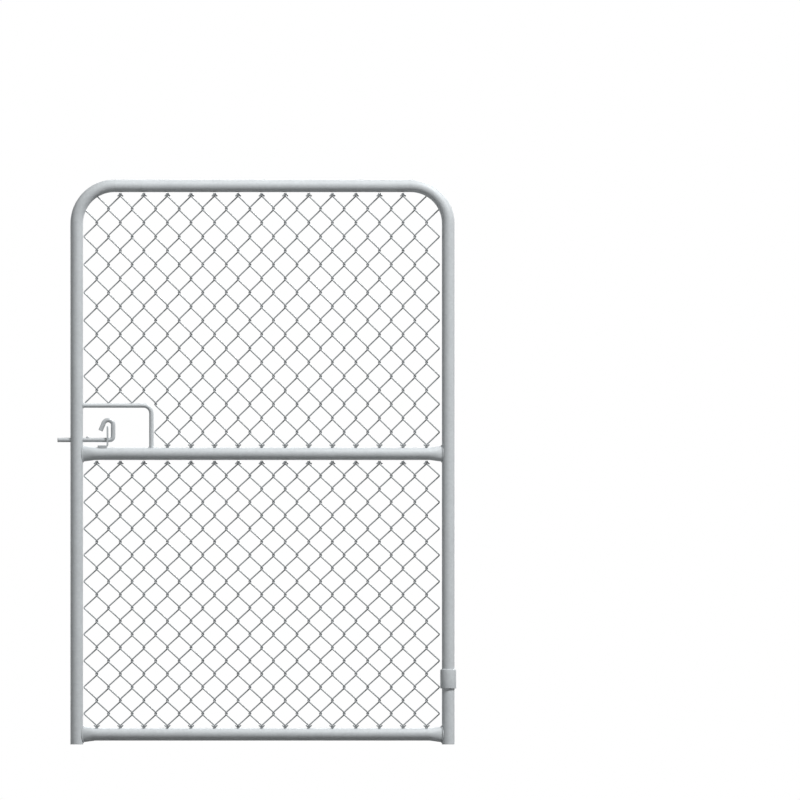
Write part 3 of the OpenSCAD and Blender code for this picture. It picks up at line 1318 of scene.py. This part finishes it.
    def hole_end(self, p: int, n: int) -> list[Vector]:
        """End a wire on the hand hole's bar, or hooked to its full-length neighbour.

        Args:
            p: The wire's number.
            n: The last node that it turns at in full.

        Returns:
            The points from that node's way in.
        """
        ends = list(self.turn(p, n))
        turn_in, turn_out = self.turn(p, n + 1)
        if p == self.hole_wires - 1 and self.side(p, n + 1) > 0:
            fall = (self.turn(p, n + 2)[0] - turn_out).normalized()
            return ends + [turn_in, turn_out, turn_out + fall * (2 * self.wire_r)]
        landing = self.hole_top + self.landing_share * self.wire_r
        start = ends[1]
        share = (start.z - landing) / (start.z - turn_in.z)
        if share < 1:
            return ends + [start + (turn_in - start) * share]
        return ends + [turn_in, Vector((turn_in.x, 0.0, landing))]

    def wire(self, p: int) -> list[Vector]:
        """Follow one wire.

        Args:
            p: The wire's number.

        Returns:
            Its corner points from top to bottom.
        """
        first, points = self.upper_end(p)
        last = self.last_node(p)
        for j in range(first + 1, last):
            points += self.turn(p, j)
        if p < self.hole_wires:
            return points + self.hole_end(p, last)
        return points + self.folded_end(p, last, End.FOOT)[::-1]


# ---- studio ----


@dataclass
class Studio:
    """The floor, the lights, the pale surround and the camera."""

    sizes: GateSizes
    floor_reach: float = 12.0
    floor_grey: float = 0.28
    floor_bounce: float = 0.13
    floor_glow: float = 0.44
    floor_roughness: float = 0.9
    floor_specular: float = 0.1
    fade_from: float = 1.5
    fade_to: float = 9.0
    surround: float = 0.03
    surround_tint: tuple[float, ...] = (0.93, 0.96, 1.0, 1.0)
    view_height: float = 2.124
    view_from: Triple = (-0.128, -4.0, 0.766)

    def build(self) -> None:
        """Set the stage."""
        self.floor()
        self.light("key_light", (5.65, -5.83, 11.16), size=3.6, power=2500.0)
        self.light("fill_light", (-7.0, -3.5, 2.5), size=2.4, power=75.0)
        self.light("back_light", (2.6, 7.6, 6.4), size=3.0, power=950.0)
        self.world()
        self.camera()

    def floor(self) -> None:
        """Lay the floor under the stiles' feet, fading to white away from the gate.

        It looks paler than the light that it throws back, so the rails keep their shade.
        """
        mesh = bpy.data.meshes.new("floor")
        span, z = (-self.floor_reach, self.floor_reach), self.sizes.foot_z
        mesh.from_pydata([(x, y, z) for y in span for x in span], [], [(0, 1, 3, 2)])
        paint = bpy.data.materials.new("floor_paint")
        paint.use_nodes = True
        work = NodeWork(paint.node_tree)
        seen = self.seen_directly(work)
        place = {0: work.add("ShaderNodeTexCoord")["Object"]}
        away = work.add("ShaderNodeVectorMath", place, operation="LENGTH")["Value"]
        fade = work.ramp(away, (self.fade_from, self.fade_to), (self.floor_glow, 1.0))
        look = {
            "Base Color": work.ramp(seen, (0.0, 1.0), (self.floor_bounce, self.floor_grey)),
            "Roughness": self.floor_roughness,
            "Specular IOR Level": self.floor_specular,
            "Emission Color": WHITE,
            "Emission Strength": work.maths("MULTIPLY", seen, fade),
        }
        work.feed(paint.node_tree.nodes["Principled BSDF"], look)
        mesh.materials.append(paint)
        thing = put("floor", mesh)

    def light(self, name: str, place: Triple, size: float, power: float) -> None:
        """Hang a square soft light that faces the gate's middle.

        Args:
            name: The light's name.
            place: Where it hangs.
            size: The length of its side.
            power: Its power in watts.
        """
        lamp = bpy.data.lights.new(name, "AREA")
        lamp.size = size
        lamp.energy = power
        thing = put(name, lamp)
        thing.location = place
        middle = Vector((self.sizes.latch_x / 2, 0, self.sizes.mid_z))
        thing.rotation_euler = (middle - Vector(place)).to_track_quat("-Z", "Y").to_euler()
        thing.visible_camera = False

    def world(self) -> None:
        """Surround the gate with white as seen, and with a low even light."""
        world = bpy.data.worlds.new("surround")
        world.use_nodes = True
        nodes, work = world.node_tree.nodes, NodeWork(world.node_tree)
        lit = nodes["Background"]
        work.feed(lit, {"Color": self.surround_tint, "Strength": self.surround})
        white = work.add("ShaderNodeBackground", {"Color": WHITE, "Strength": 1.0})[0]
        shades = {0: self.seen_directly(work), 1: lit.outputs[0], 2: white}
        mix = work.add("ShaderNodeMixShader", shades)["Shader"]
        work.feed(nodes["World Output"], {"Surface": mix})
        bpy.context.scene.world = world

    def seen_directly(self, work: NodeWork) -> Socket:
        """Tell rays that see the surroundings from rays that only light the gate.

        Args:
            work: The node tree that asks.

        Returns:
            The socket that is 1 for camera, glossy and transmission rays, and else 0.
        """
        rays = work.add("ShaderNodeLightPath")
        total = rays["Is Camera Ray"]
        for kind in ("Is Glossy Ray", "Is Transmission Ray"):
            total = work.maths("ADD", total, rays[kind], clamp=True)
        return total

    def camera(self) -> None:
        """Set a level camera square to the gate, with no perspective."""
        lens = bpy.data.cameras.new("front_camera")
        lens.type = "ORTHO"
        lens.ortho_scale = self.view_height
        thing = put("front_camera", lens)
        thing.location = self.view_from
        thing.rotation_euler = (QUARTER, 0.0, 0.0)
        bpy.context.scene.camera = thing
        bpy.context.scene.view_settings.view_transform = "Standard"


def main() -> None:
    """Build the gate's sub-assemblies in order, then the studio."""
    logging.basicConfig(level=logging.INFO, format="%(name)s: %(message)s")
    sizes = GateSizes.from_frame()
    hole_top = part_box("hand_hole_bar")[1].z
    TubeFrame(sizes).build()
    CrossRail(sizes, "middle_rail").build()
    CrossRail(sizes, "bottom_rail").build()
    HandHoleBar(sizes).build()
    SlideBolt(sizes).build()
    StopPin(sizes).build()
    PadlockTab(sizes).build()
    HingeCollar(sizes).build()
    WovenPanel(sizes, "lower_mesh", rows=10).build()
    WovenPanel(sizes, "upper_mesh", rows=9, hole_wires=6, hole_top=hole_top).build()
    Studio(sizes).build()


if __name__ == "__main__":
    main()
